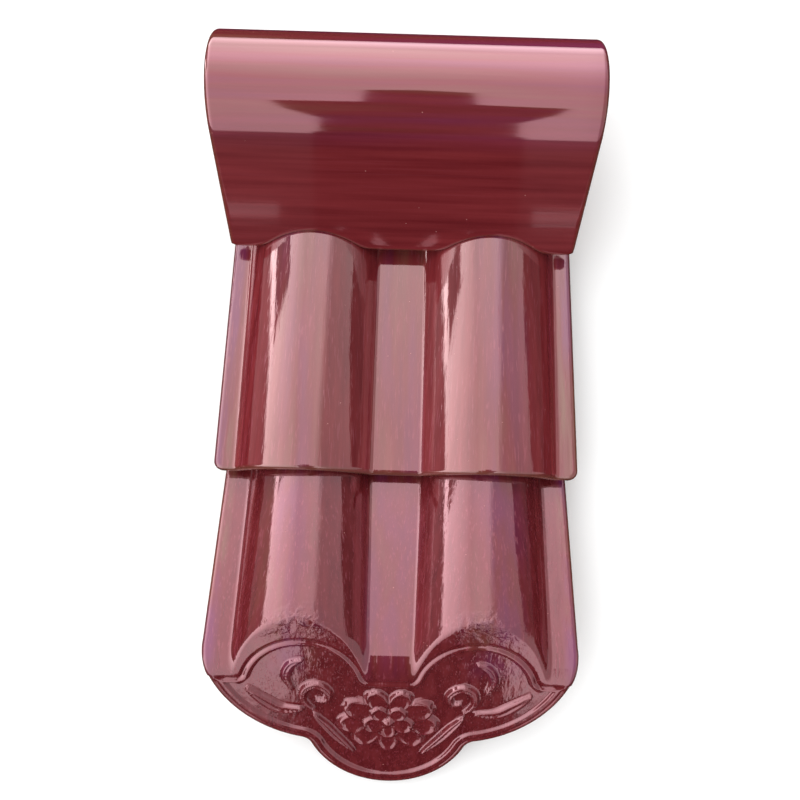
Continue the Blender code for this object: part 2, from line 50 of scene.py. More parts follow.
# Clay
THICKNESS = 0.011
EDGE_ROUNDING = 0.004
CORNER_RADIUS = 0.008
FOOT_RADIUS = 0.006
LAP = 0.082
# Shapes of the section: inner foot and outer foot of a barrel from the middle, and its rise
HEAD_SHAPE = (0.0225, 0.1253, 0.031)

# Field tile, with its widths at the head and at the tail
FIELD_LENGTH = 0.400
FIELD_WIDTHS = (0.300, 0.310)
FIELD_SHAPE = (0.0213, 0.1356, 0.029)
FIELD_NECK = 0.105
SLOPE_STEP = 0.0002

# Eave tile and its apron, with the widths at the head and at the bend
EAVE_LENGTH = 0.235
EAVE_WIDTHS = (0.295, 0.302)
EAVE_SHAPE = (0.0187, 0.1258, 0.029)
APRON_ANGLE = math.radians(42.0)
APRON_LENGTH = 0.128
PAN_BEND = 0.034
BARREL_BEND = 0.009
BEND_SHARPENING = 1.5
SHOULDER_RADIUS = 0.098
SHOULDER_SETBACK = 0.017
LOBE_RADIUS = 0.070
LOBE_FILLET = 0.012
APRON_CORNER = 0.86
SIDE_BULGE = 4
PANEL_SHAPE = (0.021, 0.1185, 0.040)
PANEL_TOP = 0.0165
PANEL_REACH = 0.16
GROOVE_WIDTH = 0.0016
GROOVE_DEPTH = 0.0013
RIM_WIDTH = 0.0095
RIM_LINE = 0.005
RIM_LINE_WIDTH = 0.0009
RIM_LINE_SHARE = 0.4
GROOVE_START_SHARE = 0.4
PANEL_DEPTH = 0.0022
PANEL_EDGE = 0.002
BEAD_WIDTH = 0.004
# How far the crinkled glaze reaches across a barrel and along it
CRINKLE_SIZES = (0.022, 0.009)

# Flower and leaves on the apron, as places across and down from the line of the bend
FLOWER_PLACE = (0.0, 0.057)
FLOWER_HALF_SIZES = (0.042, 0.033)
# Each ring of petals: how many, place and half length as shares of the flower, overlap and height
PETAL_RINGS = (
    (9, 0.64, 0.40, 1.30, 0.0036),
    (5, 0.30, 0.24, 1.15, 0.0050),
)
# Within a petal, as shares of its size: notch (depth, width), lip (place, width), edge, hollow and base
PETAL_NOTCH = (0.10, 0.22)
PETAL_LIP = (0.78, 0.16)
PETAL_LIP_FADE = (0.55, 0.6)
PETAL_EDGE = 0.2
PETAL_HOLLOW = 0.28
PETAL_BASE_DIP = 0.12
# The flower's heart: radius and height, then how many beads, how much they stand out, how soon they begin
HEART = (0.0052, 0.0062)
HEART_BEADS = (7, 0.12, 1.5)
# Each leaf: its half width, its height and the places that its middle line passes
LEAVES = (
    (0.0066, 0.0036, ((0.070, 0.047), (0.088, 0.047), (0.101, 0.039), (0.115, 0.026))),
    (0.0040, 0.0040, ((0.060, 0.047), (0.069, 0.038), (0.068, 0.026), (0.058, 0.021), (0.049, 0.028),
                      (0.051, 0.037), (0.059, 0.036))),
    (0.0042, 0.0038, ((0.078, 0.026), (0.083, 0.013), (0.079, 0.001), (0.069, -0.005))),
    (0.0050, 0.0036, ((0.061, 0.052), (0.053, 0.063), (0.043, 0.076), (0.028, 0.092))),
)
# Within a leaf, as shares of its half width: its pointed ends and how they widen, its edge, its groove
LEAF_END = 0.12
LEAF_FULLNESS = 0.7
LEAF_EDGE = 0.5
LEAF_GROOVE = (0.4, 0.16)

# Ridge tile
RIDGE_LENGTH = 0.302
RIDGE_SPREAD = 0.198
RIDGE_HEIGHT = 0.11335
CROWN_RADIUS = 0.0532
RIDGE_EDGE_LEVEL = 0.0148
RIDGE_SETBACK = 0.0075
SCALLOP_BLEND = 0.004
RESTING_GAP = 0.0003

# How finely the pieces are divided
COLUMNS = 300
FIELD_ROWS = 100
EAVE_BODY_ROWS = 46
BEND_ROWS = 11
APRON_ROWS = 150
FRONT_SKIRT_ROWS = 40
CROWN_ROWS = 80
BACK_SKIRT_ROWS = 30
EDGE_STEPS = 5
CORNER_STEPS = 5
LEAF_STEPS = 40
OUTLINE_STEPS = (60, 30, 120)
PANEL_TOP_STEPS = 161
THIN_BY = 3
BEND_PASSES = 4
SCALLOP_PASSES = 6

# Glaze. Its streaks run lengthwise or crosswise, as how often they change along each axis
LENGTHWISE = (160.0, 6.0, 160.0)
CROSSWISE = (6.0, 160.0, 160.0)
BROAD_SHARE = 0.35
RIPPLE_SHARE = 0.8
ROUGHNESS_FINENESS = 2.0
STREAK_DETAIL = 3.0
RUN_DETAIL = 2.0
FOLD_DETAIL = 5.0
# Runs are finer than the streaks, along them and across them
RUN_FINENESS = (2.0, 5.0)
RUN_STARTS = (0.58, 0.70)
RUN_SHARE = 0.5
RUN_HEIGHT = 0.25
# Colours, each with its place on the scale of the streaks where it has one
REDS = ((0.3, (0.122, 0.0120, 0.0155)), (0.7, (0.185, 0.0230, 0.0275)))
# Painted sheen: mauve and grey-green tints of the lustre's highlights, put into the glaze colour
SHEEN_TINTS = ((0.36, (0.155, 0.075, 0.045)), (0.48, (0.15, 0.022, 0.028)), (0.62, (0.135, 0.022, 0.085)))
RUN_COLOUR = (0.30, 0.065, 0.095)
# Pinholes in the glaze are painted pale: a painted glint in each small dip
PINHOLE_GLINT_COLOUR = (0.42, 0.16, 0.15)
FOLD_COLOUR = (0.085, 0.010, 0.030)
EDGE_COLOUR = (0.16, 0.060, 0.038)
CLAY_COLOUR = (0.38, 0.17, 0.09)
SPECK_FINENESS = 70.0
SPECK_SIZE = 0.03
SPECK_DEPTH = 0.5
FOLD_FINENESS = 170.0
FOLD_RANGE = (0.42, 0.18)
FOLD_SHARE = 0.8
FOLD_HEIGHT = 2.2
SMOOTHEST = 0.035
ROUGHNESS_CHANGE = 0.05
CLAY_ROUGHNESS = 0.7
LUSTRE_INDEX = 2.3
RELIEF_DEPTH = 0.0004
RELIEF_STRENGTH = 0.5
THIN_GLAZE_START = 0.25
# Painted sheen, where the glaze colour is tinted mauve and grey-green as the lustre's highlights look: its
# place, its fade and how much of it, on each part, and where the parts end
SHEEN_FLANGE = (0.137, 0.006, 0.9)
SHEEN_PAN = (0.024, 0.006, 0.4)
SHEEN_CREST = (0.085, 0.030, 0.6)
SHEEN_END = (-0.235, 0.02)
SHEEN_CROWN = (0.118, 0.02, 0.5)

# Camera
CAMERA_PLACE = (0.00199, -0.06391, 0.5986)
CAMERA_TILT = 0.103675
CAMERA_ROLL = 0.02936
CAMERA_LENS = 29.12
CAMERA_SHIFT_UP = 0.0029

# Floor
FLOOR_REACH = 6.0
FLOOR_COLOUR = (0.95, 0.95, 0.95, 1.0)
FLOOR_ROUGHNESS = 0.9

# Light. Levels from left to right, from (0) far left to (1) far right
BRIGHTEST = 4.0
LIGHT_ACROSS = (
    (0.0, 0.2), (0.060, 0.25), (0.070, 3.7), (0.10, 3.2), (0.28, 2.25), (0.37, 1.66), (0.44, 1.8),
    (0.62, 1.8), (0.69, 0.72))
# Levels from back to front, from (0) the horizon behind through (0.5) overhead to (1) the horizon in front
LIGHT_FORWARD = (
    (0.0, 1.2), (0.03, 2.3), (0.10, 1.5), (0.13, 1.7), (0.24, 1.6), (0.33, 1.14), (0.42, 0.84),
    (0.54, 0.85), (0.64, 0.88), (0.84, 0.84), (0.89, 0.83), (0.912, 0.79), (0.917, 0.12), (0.94, 0.06),
    (0.95, 0.03))
# Half width of the person in front, from (0) overhead to (1) the horizon, with hands held out
PERSON_WIDTHS = (
    (0.02, 0.0), (0.04, 0.075), (0.24, 0.08), (0.26, 0.205), (0.38, 0.19), (0.54, 0.14), (0.78, 0.14),
    (0.80, 0.15))
PERSON_OFFSET = 0.015
PERSON_DARKNESS = 0.985
# The dark corner on the right: how it slants and where it starts
CORNER_SLANT = 0.62
CORNER_START = 1.05
# The dark shelf on the left: how far back it starts, its place across and its half width
SHELF_START = -0.36
SHELF_PLACE = -0.70
SHELF_HALF_WIDTH = 0.11
SHELF_DARKNESS = 0.92
# The pale strip low in front: its place, its half width, the gap round the person and its level
STRIP_PLACE = 0.937
STRIP_HALF_WIDTH = 0.006
STRIP_GAP = 0.185
STRIP_LEVEL = 0.5


# Numbers in a node tree

class Figure:
    """A number inside a node tree. Reckoning with it adds the nodes that reckon."""

    def __init__(self, tree, socket):
        self.tree, self.socket = tree, socket

    def made(self, operation, *values):
        node = self.tree.nodes.new("ShaderNodeMath")
        node.operation = operation
        for entry, value in zip(node.inputs, values):
            if isinstance(value, Figure):
                self.tree.links.new(value.socket, entry)
            else:
                entry.default_value = value
        return Figure(self.tree, node.outputs[0])

    def __add__(self, other):
        return self.made("ADD", self, other)

    def __sub__(self, other):
        return self.made("SUBTRACT", self, other)

    def __rsub__(self, other):
        return self.made("SUBTRACT", other, self)

    def __mul__(self, other):
        return self.made("MULTIPLY", self, other)

    def __truediv__(self, other):
        return self.made("DIVIDE", self, other)


def root(value):
    return value.made("SQRT", value) if isinstance(value, Figure) else np.sqrt(np.maximum(value, 0.0))


def size_of(value):
    """The value without its sign."""
    return value.made("ABSOLUTE", value) if isinstance(value, Figure) else np.abs(value)


def held(value):
    """The value, kept between 0 and 1."""
    if isinstance(value, Figure):
        return value.made("MINIMUM", value.made("MAXIMUM", value, 0.0), 1.0)
    return np.clip(value, 0.0, 1.0)


def at_least(value, low):
    return value.made("MAXIMUM", value, low) if isinstance(value, Figure) else np.maximum(value, low)


def below(value, limit):
    """1 where the value is below the limit, otherwise 0."""
    if isinstance(value, Figure):
        return value.made("LESS_THAN", value, limit)
    return (np.asarray(value) < limit) * 1.0


def blend(first, second, share):
    return first + (second - first) * share


def ease(share):
    share = held(share)
    return share * share * (3.0 - share * 2.0)


def barrel_height(x, inner, outer, rise, foot=FOOT_RADIUS):
    """Height over the pan of a section with a barrel on each side, with a small fillet at each foot."""
    reach = (outer - inner) / 2.0
    middle = (outer + inner) / 2.0
    radius = (reach * reach + rise * rise) / (rise * 2.0)
    sink = radius - rise
    spread = root((radius + foot) * (radius + foot) - (sink + foot) * (sink + foot))
    off = size_of(size_of(x) - middle)
    crown = root(radius * radius - off * off) - sink
    into = at_least(spread - off, 0.0)
    fillet = foot - root(foot * foot - into * into)
    on_crown = below(off - spread + spread / (radius + foot) * foot, 0.0)
    return on_crown * crown + (1.0 - on_crown) * fillet


# Slabs of clay: a fine grid on top, edges rounded all round, and a plainer underside

def edge_loop(rows, columns):
    """Row and column of each place round the edge of a grid."""
    head = [(0, j) for j in range(columns)]
    right = [(i, columns - 1) for i in range(1, rows)]
    tail = [(rows - 1, j) for j in range(columns - 2, -1, -1)]
    left = [(i, 0) for i in range(rows - 2, 0, -1)]
    return np.array(head + right + tail + left)


def unit(vectors):
    return vectors / np.maximum(np.linalg.norm(vectors, axis=-1, keepdims=True), 1e-12)


def grid_normals(places):
    return unit(np.cross(np.gradient(places, axis=0), np.gradient(places, axis=1)))


def thinned(count, by):
    return np.unique(np.r_[np.arange(0, count - 1, by), count - 1])


def clay_slab(name, places, relief=None, crinkled=None):
    """Closed slab whose face is a grid of places. The edge is rounded outwards from the grid's own edge."""
    rows, columns = places.shape[:2]
    normals = grid_normals(places)
    face = places if relief is None else places + normals * relief[..., None]
    loop = edge_loop(rows, columns)
    edge, up = places[loop[:, 0], loop[:, 1]], normals[loop[:, 0], loop[:, 1]]
    along = np.roll(edge, -1, axis=0) - np.roll(edge, 1, axis=0)
    out = unit(np.cross(up, along))
    angles = np.linspace(0.0, math.pi / 2, EDGE_STEPS + 1)
    turns = [(EDGE_ROUNDING * math.sin(a), EDGE_ROUNDING * (1 - math.cos(a))) for a in angles[1:]]
    turns += [(reach, THICKNESS - depth) for reach, depth in turns[::-1]]
    rings = [edge + out * reach - up * depth for reach, depth in turns]
    kept_rows, kept_columns = thinned(rows, THIN_BY), thinned(columns, THIN_BY)
    under = (places - normals * THICKNESS)[np.ix_(kept_rows, kept_columns)]
    verts = np.concatenate([face.reshape(-1, 3), *rings, under.reshape(-1, 3)])
    index = np.arange(rows * columns).reshape(rows, columns)
    ring_start = rows * columns
    under_start = ring_start + len(loop) * len(rings)
    low = under_start + np.arange(len(kept_rows) * len(kept_columns)).reshape(len(kept_rows), -1)
    faces = quads(index)
    circuits = [index[loop[:, 0], loop[:, 1]]]
    circuits += [ring_start + k * len(loop) + np.arange(len(loop)) for k in range(len(rings))]
    nearest_row = np.abs(kept_rows[:, None] - loop[:, 0]).argmin(0)
    nearest_column = np.abs(kept_columns[:, None] - loop[:, 1]).argmin(0)
    circuits.append(low[nearest_row, nearest_column])
    for upper, lower in zip(circuits, circuits[1:]):
        corners = np.stack([upper, np.roll(upper, -1), np.roll(lower, -1), lower], 1)
        faces += [list(dict.fromkeys(face)) for face in corners.tolist()]
    faces += [face[::-1] for face in quads(low)]
    mesh = bpy.data.meshes.new(name)
    mesh.from_pydata(verts.tolist(), [], [face for face in faces if len(face) > 2])
    mesh.shade_smooth()
    thin = np.zeros(len(verts))
    bare = np.zeros(len(verts))
    round_edge = np.linspace(THIN_GLAZE_START, math.pi - THIN_GLAZE_START, len(rings))
    thin[ring_start:under_start] = np.repeat(np.sin(round_edge), len(loop))
    bare[under_start:] = 1.0
    crinkle = np.zeros(len(verts))
    if crinkled is not None:
        crinkle[:ring_start] = crinkled.ravel()
    for title, values in (("thin_glaze", thin), ("bare_clay", bare), ("crinkle", crinkle)):
        mesh.attributes.new(title, "FLOAT", "POINT").data.foreach_set("value", values)
    return mesh


def quads(index):
    corners = np.stack([index[:-1, :-1], index[1:, :-1], index[1:, 1:], index[:-1, 1:]], -1)
    return corners.reshape(-1, 4).tolist()


def corner_stations(inset):
    """Round the corner of an inset outline: distance from the end, and how far the side is drawn in."""
    radius = CORNER_RADIUS - inset
    turns = [math.pi / 2 * k / CORNER_STEPS for k in range(CORNER_STEPS + 1)]
    return [(inset + radius * (1 - math.cos(a)), radius * (1 - math.sin(a))) for a in turns]


def laid(mesh, lay):
    """Turns and moves a tile's mesh from its own frame to its place in the run."""
    pitch, place = lay
    mesh.transform(Matrix.Translation(place) @ Matrix.Rotation(-pitch, 4, "X"))
    return mesh


def add_piece(name, mesh, material, node):
    mesh.materials.clear()
    mesh.materials.append(material)
    piece = bpy.data.objects.new(name, mesh)
    bpy.context.scene.collection.objects.link(piece)
    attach(piece, "root")
    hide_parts(node)


# Field tile: a flat slab pressed over a mould

def new_input(tree, title, kind="NodeSocketFloat"):
    return tree.interface.new_socket(title, in_out="INPUT", socket_type=kind).identifier


def press_tree():
    """Presses a flat slab over a mould with two barrels that rise and draw in towards the head."""
    tree = bpy.data.node_groups.new("press_over_mould", "GeometryNodeTree")
    titles = ["Lap", "Neck", "Thickness", "Foot radius", "Head inner foot", "Head outer foot", "Head rise",
              "Inner foot", "Outer foot", "Rise"]
    sockets = {"Slab": new_input(tree, "Slab", "NodeSocketGeometry")}
    sockets.update({title: new_input(tree, title) for title in titles})
    sockets["Glaze"] = new_input(tree, "Glaze", "NodeSocketMaterial")
    tree.interface.new_socket("Tile", in_out="OUTPUT", socket_type="NodeSocketGeometry")
    start = tree.nodes.new("NodeGroupInput")
    finish = tree.nodes.new("NodeGroupOutput")
    inputs = {title: Figure(tree, start.outputs[title]) for title in titles}
    here = tree.nodes.new("GeometryNodeInputPosition")
    parts = tree.nodes.new("ShaderNodeSeparateXYZ")
    tree.links.new(here.outputs[0], parts.inputs[0])
    x, y, lift = (Figure(tree, socket) for socket in parts.outputs)

    def mould(across, along):
        share = ease((along - inputs["Lap"]) / inputs["Neck"])
        shape = [blend(inputs["Head " + title.lower()], inputs[title], share)
                 for title in ("Inner foot", "Outer foot", "Rise")]
        return barrel_height(across, *shape, inputs["Foot radius"])

    along = 0.0 - y
    slope_x = (mould(x + SLOPE_STEP, along) - mould(x - SLOPE_STEP, along)) / (2 * SLOPE_STEP)
    slope_y = (mould(x, along - SLOPE_STEP) - mould(x, along + SLOPE_STEP)) / (2 * SLOPE_STEP)
    length = root(slope_x * slope_x + slope_y * slope_y + 1.0)
    place = (x - slope_x / length * lift, y - slope_y / length * lift,
             inputs["Thickness"] + mould(x, along) + lift / length)
    joined = tree.nodes.new("ShaderNodeCombineXYZ")
    for entry, value in zip(joined.inputs, place):
        tree.links.new(value.socket, entry)
    press = tree.nodes.new("GeometryNodeSetPosition")
    tree.links.new(start.outputs["Slab"], press.inputs["Geometry"])
    tree.links.new(joined.outputs[0], press.inputs["Position"])
    real = tree.nodes.new("GeometryNodeRealizeInstances")
    glaze = tree.nodes.new("GeometryNodeSetMaterial")
    tree.links.new(press.outputs[0], real.inputs[0])
    tree.links.new(real.outputs[0], glaze.inputs["Geometry"])
    tree.links.new(start.outputs["Glaze"], glaze.inputs["Material"])
    tree.links.new(glaze.outputs[0], finish.inputs[0])
    return tree, sockets


def from_tree(name, mesh, tree, sockets, values):
    """Runs a node tree on a mesh and keeps the result as a plain mesh."""
    carrier = bpy.data.objects.new(name, mesh)
    bpy.context.scene.collection.objects.link(carrier)
    modifier = carrier.modifiers.new(name, "NODES")
    modifier.node_group = tree
    for title, value in values.items():
        modifier[sockets[title]] = value
    bpy.context.view_layer.update()
    depsgraph = bpy.context.evaluated_depsgraph_get()
    result = bpy.data.meshes.new_from_object(carrier.evaluated_get(depsgraph))
    bpy.data.objects.remove(carrier)
    return result


def make_field_tile(material):
    """Field tile: a flat slab with rounded corners, pressed over the mould."""
    inset = EDGE_ROUNDING
    ends = corner_stations(inset)
    middle = [(v, 0.0) for v in np.linspace(CORNER_RADIUS, FIELD_LENGTH - CORNER_RADIUS, FIELD_ROWS)[1:-1]]
    rows = ends + middle + [(FIELD_LENGTH - v, drawn) for v, drawn in ends[::-1]]
    shares = np.linspace(-1.0, 1.0, COLUMNS)
    grid = np.array([[(share * (blend(*FIELD_WIDTHS, v / FIELD_LENGTH) / 2 - inset - drawn), -v, 0.0)
                      for share in shares] for v, drawn in rows])
    slab = clay_slab("field_tile_slab", grid)
    tree, sockets = press_tree()
    sizes = {"Lap": LAP, "Neck": FIELD_NECK, "Thickness": THICKNESS, "Foot radius": FOOT_RADIUS,
             "Head inner foot": HEAD_SHAPE[0], "Head outer foot": HEAD_SHAPE[1], "Head rise": HEAD_SHAPE[2],
             "Inner foot": FIELD_SHAPE[0], "Outer foot": FIELD_SHAPE[1], "Rise": FIELD_SHAPE[2],
             "Glaze": material}
    mesh = from_tree("field_tile_press", slab, tree, sockets, sizes)
    add_piece("field_tile_glazed", laid(mesh, FIELD_LAY), material, "field_tile")


# Eave tile

def meeting(centre_a, radius_a, centre_b, radius_b):
    """The lower of the two places where two circles cross."""
    across = np.subtract(centre_b, centre_a)
    gap = math.hypot(*across)
    along = (radius_a ** 2 - radius_b ** 2 + gap ** 2) / (2 * gap)
    off = math.sqrt(radius_a ** 2 - along ** 2)
    way = across / gap
    return max((centre_a + way * along + np.array((-way[1], way[0])) * off * side for side in (1, -1)),
               key=lambda place: place[1])


def arc(centre, radius, start, end, steps):
    first = math.atan2(start[1] - centre[1], start[0] - centre[0])
    last = math.atan2(end[1] - centre[1], end[0] - centre[0])
    angles = np.linspace(first, last, steps + 1)
    return np.column_stack((centre[0] + radius * np.cos(angles), centre[1] + radius * np.sin(angles)))


class Outline:
    """Edge of half the apron, drawn in by an inset, from the tip of the middle lobe to the side."""

    def __init__(self, inset=0.0):
        shoulder = np.array((EAVE_WIDTHS[1] / 2 - SHOULDER_RADIUS, -SHOULDER_SETBACK))
        lobe = np.array((0.0, APRON_LENGTH - LOBE_RADIUS))
        outer, tip, fillet = SHOULDER_RADIUS - inset, LOBE_RADIUS - inset, LOBE_FILLET + inset
        notch = meeting(shoulder, outer + fillet, lobe, tip + fillet)
        leave = notch + unit(lobe - notch) * fillet
        join = notch + unit(shoulder - notch) * fillet
        self.points = np.concatenate((
            arc(lobe, tip, lobe + (0.0, tip), leave, OUTLINE_STEPS[0]),
            arc(notch, fillet, leave, join, OUTLINE_STEPS[1])[1:],
            arc(shoulder, outer, join, shoulder + (outer, 0.0), OUTLINE_STEPS[2])[1:],
            [shoulder + (outer, -0.2)]))
        steps = np.hypot(*np.diff(self.points, axis=0).T)
        self.lengths = np.concatenate(([0.0], np.cumsum(steps)))

    def at(self, length):
        return np.stack([np.interp(length, self.lengths, self.points[:, axis]) for axis in (0, 1)], -1)

    def length_at_drop(self, drop):
        return float(np.interp(drop, self.points[::-1, 1], self.lengths[::-1]))


def distance_to_line(places, line):
    """Distance of each place from a line of points."""
    start, run = line[:-1], np.diff(line, axis=0)
    best = np.full(places.shape[:-1], np.inf)
    for point, way in zip(start, run):
        to_point = places - point
        share = np.clip((to_point @ way) / (way @ way), 0.0, 1.0)
        best = np.minimum(best, np.linalg.norm(to_point - share[..., None] * way, axis=-1))
    return best


def eave_height(x, along):
    share = np.maximum(0.0, (along - LAP) / (EAVE_LENGTH - LAP))
    return barrel_height(x, *(blend(a, b, share) for a, b in zip(HEAD_SHAPE, EAVE_SHAPE)))


def eave_half_width(along):
    return blend(*EAVE_WIDTHS, along / EAVE_LENGTH) / 2


def follow_shoulder(x, drop, outline):
    """Draws the flanges in where the shoulder of the outline begins above the bend."""
    foot = EAVE_SHAPE[1] + FOOT_RADIUS
    straight = EAVE_WIDTHS[1] / 2
    points = outline.points[::-1]
    limit = np.interp(drop, points[:, 1], points[:, 0]) - points[0, 0] + straight
    past = np.maximum(np.abs(x) - foot, 0.0)
    return x - np.sign(x) * past / (straight - foot) * (straight - limit)


def petal(x, drop, place, turn, half_length, half_width, height):
    """A cupped petal with a raised lip, pointing away from the flower's heart."""
    along = ((x - place[0]) * math.sin(turn) + (drop - place[1]) * math.cos(turn)) / half_length
    across = ((x - place[0]) * math.cos(turn) - (drop - place[1]) * math.sin(turn)) / half_width
    notch = PETAL_NOTCH[0] * np.exp(-(across / PETAL_NOTCH[1]) ** 2) * held(along)
    far = np.hypot(along, across) + notch
    lip = np.exp(-((far - PETAL_LIP[0]) / PETAL_LIP[1]) ** 2)
    lip = lip * held(PETAL_LIP_FADE[0] + along * PETAL_LIP_FADE[1])
    cup = 1.0 - PETAL_HOLLOW * (1.0 - lip) - PETAL_BASE_DIP * held(-along)
    return height * ease((1.0 - far) / PETAL_EDGE) * cup


def flower_lift(x, drop):
    """The flower: rings of overlapping petals round a beaded heart."""
    lift = np.zeros_like(x)
    for count, place, half, overlap, height in PETAL_RINGS:
        for index in range(count):
            angle = 2 * math.pi * index / count
            across = FLOWER_HALF_SIZES[0] * place * math.sin(angle)
            down = FLOWER_HALF_SIZES[1] * place * math.cos(angle)
            reach = math.hypot(across, down)
            middle = (FLOWER_PLACE[0] + across, FLOWER_PLACE[1] + down)
            half_length, half_width = reach / place * half, math.pi * reach / count * overlap
            turn = math.atan2(across, down)
            lift = np.maximum(lift, petal(x, drop, middle, turn, half_length, half_width, height))
    far = np.hypot(x - FLOWER_PLACE[0], drop - FLOWER_PLACE[1])
    turn = np.arctan2(x - FLOWER_PLACE[0], drop - FLOWER_PLACE[1])
    count, stand, start = HEART_BEADS
    beads = 1.0 + stand * np.cos(turn * count) * ease(far / HEART[0] * start)
    return np.maximum(lift, HEART[1] * root(1.0 - (far / HEART[0]) ** 2) * beads)


def smooth_line(places):
    """A line of points that passes smoothly through given places."""
    places = np.array(places)
    before, after = 2 * places[0] - places[1], 2 * places[-1] - places[-2]
    knots = np.concatenate(([before], places, [after]))
    line = []
    for k in range(LEAF_STEPS):
        t = k / (LEAF_STEPS - 1) * (len(places) - 1)
        i = min(int(t), len(places) - 2)
        t -= i
        a, b, c, d = knots[i:i + 4]
        line.append(0.5 * (2 * b + (c - a) * t + (2 * a - 5 * b + 4 * c - d) * t ** 2
                           + (3 * b - a - 3 * c + d) * t ** 3))
    return np.array(line)


def leaf_lift(x, drop, half_width, height, line):
    """A leaf along a line, pointed at both ends, with a groove down its middle."""
    best = np.full(x.shape, np.inf)
    for k, (px, py) in enumerate(line):
        swell = abs(math.sin(math.pi * k / (len(line) - 1))) ** LEAF_FULLNESS
        width = half_width * blend(LEAF_END, 1.0, swell)
        best = np.minimum(best, np.hypot(x - px, drop - py) / width)
    groove = LEAF_GROOVE[0] * np.exp(-(best / LEAF_GROOVE[1]) ** 2)
    return height * ease((1.0 - best) / LEAF_EDGE) * (1.0 - groove)


def apron_relief(places, outline):
    """Lift of the apron's face: the sunk panel with its groove, bead and rim, the flower and the leaves."""
    x, drop = places[..., 0], places[..., 1]
    mirrored = np.stack((np.abs(x), drop), -1)
    half = np.linspace(0.0, PANEL_REACH, PANEL_TOP_STEPS)
    top_edge = np.stack((half, PANEL_TOP - barrel_height(half, *PANEL_SHAPE)), -1)
    above = PANEL_TOP - barrel_height(x, *PANEL_SHAPE) > drop
    into = distance_to_line(mirrored, top_edge) * np.where(above, -1.0, 1.0)
    from_edge = distance_to_line(mirrored, outline.points)
    within = ease((from_edge - RIM_WIDTH) / PANEL_EDGE)
    panel = -PANEL_DEPTH * ease((into - BEAD_WIDTH) / PANEL_EDGE) * within
    groove = GROOVE_DEPTH * np.exp(-(into / GROOVE_WIDTH) ** 2)
    groove = groove * ease((from_edge - RIM_WIDTH * GROOVE_START_SHARE) / RIM_WIDTH)
    line = RIM_LINE_SHARE * GROOVE_DEPTH * np.exp(-((from_edge - RIM_LINE) / RIM_LINE_WIDTH) ** 2)
    line = line * ease(into / BEAD_WIDTH)
    ornament = flower_lift(x, drop)
    for half_width, height, passed in LEAVES:
        leaf = leaf_lift(np.abs(x), drop, half_width, height, smooth_line(passed))
        ornament = np.maximum(ornament, leaf)
    return panel - groove - line + ornament * ease((into - BEAD_WIDTH) / PANEL_EDGE) * within


def make_eave_tile(material):
    """Eave tile: rows of its body from the head, round the bend and down the apron."""
    inset = EDGE_ROUNDING
    outline, inner = Outline(), Outline(inset)
    cos, sin, tan = math.cos(APRON_ANGLE), math.sin(APRON_ANGLE), math.tan(APRON_ANGLE)
    shares = np.linspace(-1.0, 1.0, COLUMNS + 1)
    along = np.full(len(shares), EAVE_LENGTH)
    for _ in range(BEND_PASSES):
        height = eave_height(shares * (eave_half_width(along) - inset), along)
        along = EAVE_LENGTH - height / tan
    radius = blend(PAN_BEND, BARREL_BEND, ease(height / EAVE_SHAPE[2] * BEND_SHARPENING))
    tangent = radius * math.tan(APRON_ANGLE / 2)
    rows = []
    stations = corner_stations(inset)
    start = stations[-1][0]
    for v, drawn in stations[:-1]:
        x = shares * (eave_half_width(v) - inset - drawn)
        rows.append(np.stack((x, np.full_like(x, -v), eave_height(x, v) + THICKNESS), -1))
    for share in np.linspace(0.0, 1.0, EAVE_BODY_ROWS)[:-1]:
        v = blend(start, along - tangent, share)
        x = shares * (eave_half_width(v) - inset)
        drawn_x = follow_shoulder(x, v - EAVE_LENGTH, inner)
        rows.append(np.stack((drawn_x, -v, eave_height(x, v) + THICKNESS), -1))
    straight_x = shares * (eave_half_width(along) - inset)
    for turn in np.linspace(0.0, APRON_ANGLE, BEND_ROWS):
        y = along - tangent + radius * math.sin(turn)
        round_bend = along - EAVE_LENGTH + tangent * (2 * turn / APRON_ANGLE - 1)
        bend_x = follow_shoulder(straight_x, round_bend, inner)
        rows.append(np.stack((bend_x, -y, height - radius * (1 - math.cos(turn)) + THICKNESS), -1))
    tops = np.stack((np.abs(bend_x), tangent - height / sin), -1)
    side_length = inner.length_at_drop(float(tops[0, 1]))
    corner_length = side_length * APRON_CORNER
    feet = inner.at(corner_length * np.abs(shares))
    plan = []
    for share in np.linspace(0.0, 1.0, APRON_ROWS + 1)[1:]:
        bulge = inner.at(blend(side_length, corner_length, share)) - blend(tops[0], feet[0], share)
        plan.append(blend(tops, feet, share) + bulge * np.abs(shares)[:, None] ** SIDE_BULGE)
    plan = np.array(plan)
    plan[..., 0] *= np.sign(shares)
    face = np.stack((plan[..., 0], -EAVE_LENGTH - plan[..., 1] * cos, THICKNESS - plan[..., 1] * sin), -1)
    places = np.concatenate((np.array(rows), face))
    relief = np.zeros(places.shape[:2])
    relief[len(rows):] = apron_relief(plan, outline)
    from_bend = (-places[..., 1] - along) / CRINKLE_SIZES[1]
    from_crest = (np.abs(places[..., 0]) - sum(EAVE_SHAPE[:2]) / 2) / CRINKLE_SIZES[0]
    mesh = clay_slab("eave_tile_slab", places, relief, np.exp(-from_bend ** 2 - from_crest ** 2))
    add_piece("eave_tile_glazed", laid(mesh, EAVE_LAY), material, "eave_tile")


# Ridge tile

def field_height(x, along):
    share = ease((along - LAP) / FIELD_NECK)
    return barrel_height(x, *(blend(a, b, share) for a, b in zip(HEAD_SHAPE, FIELD_SHAPE)))


def ridge_skirt():
    """Slope of the skirts, the centre of the crown, and the length of a skirt down to the edge level."""
    half, centre = RIDGE_SPREAD / 2, RIDGE_HEIGHT - CROWN_RADIUS
    slope = math.atan2(centre, half) + math.asin(CROWN_RADIUS / math.hypot(half, centre))
    top = half - CROWN_RADIUS * math.sin(slope)
    return slope, centre, top / math.cos(slope)


